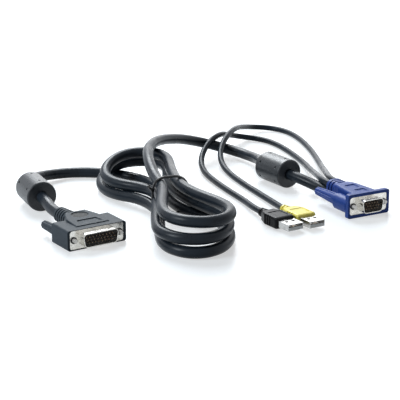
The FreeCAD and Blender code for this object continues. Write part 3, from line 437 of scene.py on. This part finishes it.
moulded = moulded_group()
for side, first, second in (("left", (3.4, 67, 0), (11, 109, 0)),
                            ("right", (180.5, 60, 0), (180, 20.5, 0))):
    cover = grouped_material(side + "_sleeve_cover", moulded, (0.015, 0.019, 0.024),
                             Gloss=0.36, Grain=1100.0, Wear=0.4)
    drawn_bands(cover, first, second)
    dress(cover, side + "_ferrite_cover")
dress(grouped_material("ferrite", moulded, (0.020, 0.020, 0.022), Gloss=0.55, Grain=2500.0,
                       Wear=0.2), "left_ferrite_core", "right_ferrite_core")


# ---------------------------------------------------------------- 26-pin plug
# A slate moulded hood over a potted inner mould. In its mouth two drawn, nickel-plated shells
# clamp the insulator with its three rows of gilt pins. Two captive thumbscrews turn in it.
def painted_recess_shade(material, middle, reach):
    """Painted shade over an oval, (x / a)^2 + (y / b)^2 < 1 round middle: darker, deepest between
    fine dots.
    """
    tree = material.node_tree
    skin = tree.nodes["Group"]
    place = tree.nodes.new("ShaderNodeTexCoord").outputs["Object"]
    shift = tree.nodes.new("ShaderNodeMapping")
    shift.vector_type = "TEXTURE"
    shift.inputs["Location"].default_value = middle
    shift.inputs["Scale"].default_value = reach
    far = tree.nodes.new("ShaderNodeVectorMath")
    far.operation = "LENGTH"
    dots = tree.nodes.new("ShaderNodeTexVoronoi")
    dots.inputs["Scale"].default_value = 1150
    links(tree, (place, shift.inputs["Vector"]), (shift.outputs["Vector"], far.inputs[0]),
          (place, dots.inputs["Vector"]))
    inside = span(tree, far.outputs["Value"], 1.0, 0.0, 0.94, 1.0)
    # Painted shade: the oval is darkened, most between the dots, so that they read as raised.
    dark = math_node(tree, "MULTIPLY", inside, span(tree, dots.outputs["Distance"], 0.45, 0.95,
                                                    0.1, 0.5))
    colour = tree.nodes.new("ShaderNodeRGB").outputs[0]
    colour.default_value = skin.inputs["Tint"].default_value
    links(tree, (tinted(tree, colour, math_node(tree, "SUBTRACT", 1.0, dark)),
                 skin.inputs["Tint"]))


def plated_group():
    """Plated sheet: tumbled speckle, finger smudges and slight unevenness from the press."""
    group, given, out = new_group(
        "plated_metal", [("Tint", "NodeSocketColor"), ("Gloss", "NodeSocketFloat")],
        [("Color", "NodeSocketColor"), ("Roughness", "NodeSocketFloat"),
         ("Normal", "NodeSocketVector")])
    place = group.nodes.new("ShaderNodeTexCoord").outputs["Object"]
    smudge = noise_node(group, place, 260, 4, 0.6)
    speckle = noise_node(group, place, 2300, 3, 0.7)
    shade = math_node(group, "MULTIPLY", span(group, smudge, 0.72, 1.1, 0.3, 0.7),
                      span(group, speckle, 0.6, 1.12, 0.32, 0.6))
    dull = math_node(group, "ADD", given["Gloss"], span(group, smudge, -0.05, 0.14, 0.35, 0.7))
    height = math_node(group, "ADD", smudge, math_node(group, "MULTIPLY", speckle, 0.4))
    bumped = rounded_bump(group, 0.2 * MM, height, 0.1 * MM)[1]
    links(group, (tinted(group, given["Tint"], shade), out["Color"]), (dull, out["Roughness"]),
          (bumped, out["Normal"]))
    return group


slate = grouped_material("slate_mould", moulded, (0.030, 0.040, 0.051), Gloss=0.55,
                         Grain=1500.0, Wear=0.35, Specular_IOR_Level=0.14)
dress(slate, "switch_left_knob", "switch_right_knob")
slate_hood = slate.copy()
slate_hood.name = "slate_hood"
# Painted shade over the oval recess on the hood's top.
painted_recess_shade(slate_hood, (0.0, 11.95 * MM, 0.0), (5.8 * MM, 4.8 * MM, 1.0))
dress(slate_hood, "switch_hood")
potting = grouped_material("potting", moulded, (0.6, 0.6, 0.55), Gloss=0.5, Grain=800.0,
                           Wear=0.0)
dress(potting, "switch_inner_mould")
plated = plated_group()
nickel = grouped_material("bright_nickel", plated, (0.82, 0.80, 0.75), Gloss=0.22,
                          Metallic=1.0)
dress(nickel, "switch_front_shell", "switch_rear_shell")
insulator = grouped_material("dark_insulator", moulded, (0.010, 0.010, 0.011), Gloss=0.45,
                             Grain=1500.0, Wear=0.1)
dress(insulator, "switch_insulator")
gilt = grouped_material("gold_flash", plated, (0.42, 0.30, 0.20), Gloss=0.30, Metallic=1.0)
dress(gilt, "switch_pins")

# Each thumbscrew has a nickel-plated 4-40 steel shank. Its nose has a rolled thread, then a
# waist, then a plain root moulded into the knob. A near-black ring round the waist is painted
# shade, set where the flange's screw hole shows dark inside.
screw_major = 1.42 * MM
screw_depth = 0.36 * MM
screw_waist = 1.1 * MM
screw_pitch = 0.635 * MM
screw_chamfer = 0.4 * MM
screw_thread = 3.1 * MM
# The near-black ring at this depth is painted shade of the flange's screw hole.
hole_shade_depth = 3.18 * MM      # from the screw's tip to the front of its ring


def threaded_screw(name, tip, along, root_from, length):
    """Screw mesh from its tip: radius r(a, s) over turn a and depth s.

    In the thread r = major - depth * |2 f - 1|, where f is the fraction of s / pitch - a / turn,
    and less near the tip, where r <= major - chamfer + s. Behind it r = waist, then major.
    """
    around = 48
    steps = np.concatenate([np.arange(0, screw_thread, screw_pitch / 12),
                            [screw_thread, screw_thread, root_from, root_from, length]])
    shares = np.arange(around) / around
    depth, turn = np.meshgrid(steps, shares, indexing="ij")
    flank = np.abs(2 * ((depth / screw_pitch - turn) % 1.0) - 1)
    radius = np.minimum(screw_major - screw_depth * flank, screw_major - screw_chamfer + depth)
    radius[-4:-2] = screw_waist
    radius[-2:] = screw_major
    angle = 2 * math.pi * turn
    across = np.array([along[1], -along[0], 0.0])
    points = (np.array(tip) + depth[..., None] * np.array(along)
              + (radius * np.cos(angle))[..., None] * across
              + (radius * np.sin(angle))[..., None] * np.array([0.0, 0.0, 1.0]))
    rows = len(steps)
    first = np.arange((rows - 1) * around).reshape(rows - 1, around)
    after = np.roll(first, -1, axis=1)
    faces = np.stack([first, after, after + around, first + around], -1).reshape(-1, 4)
    faces = faces[:, ::-1].tolist()
    faces += [list(range(around)), list(range((rows - 1) * around, rows * around))[::-1]]
    mesh = bpy.data.meshes.new(name)
    mesh.from_pydata(points.reshape(-1, 3).tolist(), [], faces)
    mesh.validate()
    return placed(name, mesh)


def hole_shade_ring(name, middle, along):
    """Near-black ring of painted shade for the flange's screw hole: a lathe profile of (depth,
    radius) turned about along through middle.
    """
    profile = np.array([(0, 1.5), (0, 2.1), (-0.15, 2.25), (-0.45, 2.25), (-0.6, 2.1),
                        (-0.6, 1.7), (-0.35, 1.5)]) * MM
    around = 40
    turn = 2 * math.pi * np.arange(around) / around
    across = np.array([along[1], -along[0], 0.0])
    spokes = (np.cos(turn)[:, None] * across + np.sin(turn)[:, None] * np.array([0, 0, 1.0]))
    points = (np.array(middle) + profile[:, :1, None] * np.array(along)
              + profile[:, 1:, None] * spokes[None])
    rows = len(profile)
    cell = np.arange(rows * around).reshape(rows, around)
    after = np.roll(cell, -1, axis=1)
    faces = np.stack([cell, after, np.roll(after, -1, axis=0), np.roll(cell, -1, axis=0)], -1)
    mesh = bpy.data.meshes.new(name)
    mesh.from_pydata(points.reshape(-1, 3).tolist(), [], faces.reshape(-1, 4).tolist())
    return placed(name, mesh)


def thumbscrew_pair(plug, middle, along, reach, root_from, length):
    """Shanks of a plug's two screws, whose tips lie reach either side of middle, and near-black
    rings of painted hole shade round them.
    """
    across = np.array([along[1], -along[0], 0.0])
    for side, way in (("left", -1), ("right", 1)):
        tip = middle + way * reach * across
        shank = threaded_screw(f"{plug}_{side}_shank", tip, along, root_from, length)
        shank.data.materials.append(turned_nickel)
        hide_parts(f"{plug}_{side}_screw")
        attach(shank, f"{plug}_{side}_thumbscrew")
        hole_shade = hole_shade_ring(f"{plug}_{side}_ring", tip + hole_shade_depth * along, along)
        # Near-black: painted shade of the flange's screw hole.
        hole_shade.data.materials.append(insulator)
        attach(hole_shade, "root")


turned_nickel = grouped_material("turned_nickel", plated, (0.46, 0.45, 0.43), Gloss=0.2,
                                 Metallic=1.0)
thumbscrew_pair("switch", np.array([0.0, -13.35, 6.7]) * MM, np.array([0.0, 1.0, 0.0]),
                16.65 * MM, 19.1 * MM, 33.6 * MM)


# ---------------------------------------------------------------- 15-pin video plug
# The same build in blue, smaller, with a collar that takes the round cord and both thin leads.
# It lies turned by four degrees.
blue_mould = grouped_material("blue_mould", moulded, (0.011, 0.046, 0.24), Gloss=0.42,
                              Grain=1500.0, Wear=0.45, Specular_IOR_Level=0.2)
dress(blue_mould, "video_hood", "video_left_knob", "video_right_knob")
dress(potting, "video_inner_mould")
dress(nickel, "video_front_shell", "video_rear_shell")
dress(insulator, "video_insulator")
dress(gilt, "video_pins")
video_turn = math.radians(4)
video_along = np.array([math.sin(video_turn), math.cos(video_turn), 0.0])
thumbscrew_pair("video", np.array([185.0, -57.0, 8.4]) * MM - 2.6 * MM * video_along,
                video_along, 12.5 * MM, 15.6 * MM, 33.4 * MM)


# ---------------------------------------------------------------- flat data plugs
# A drawn and folded tin-bright shell with a white tongue and four gilt contacts, held in a soft
# overmould, black on one lead and yellow on the other.
tin = grouped_material("bright_tin", plated, (0.68, 0.68, 0.67), Gloss=0.16, Metallic=1.0)
dress(tin, "black_shell", "yellow_shell")
tongue_white = grouped_material("white_plastic", moulded, (0.80, 0.80, 0.78), Gloss=0.40,
                                Grain=1500.0, Wear=0.05)
dress(tongue_white, "black_tongue", "yellow_tongue")
dress(gilt, "black_contacts", "yellow_contacts")
dress(grouped_material("black_mould", moulded, (0.008, 0.008, 0.010), Gloss=0.34,
                       Grain=1300.0, Wear=0.6, Specular_IOR_Level=0.12), "black_overmould")
dress(grouped_material("yellow_mould", moulded, (0.80, 0.69, 0.12), Gloss=0.40,
                       Grain=1300.0, Wear=0.15), "yellow_overmould")
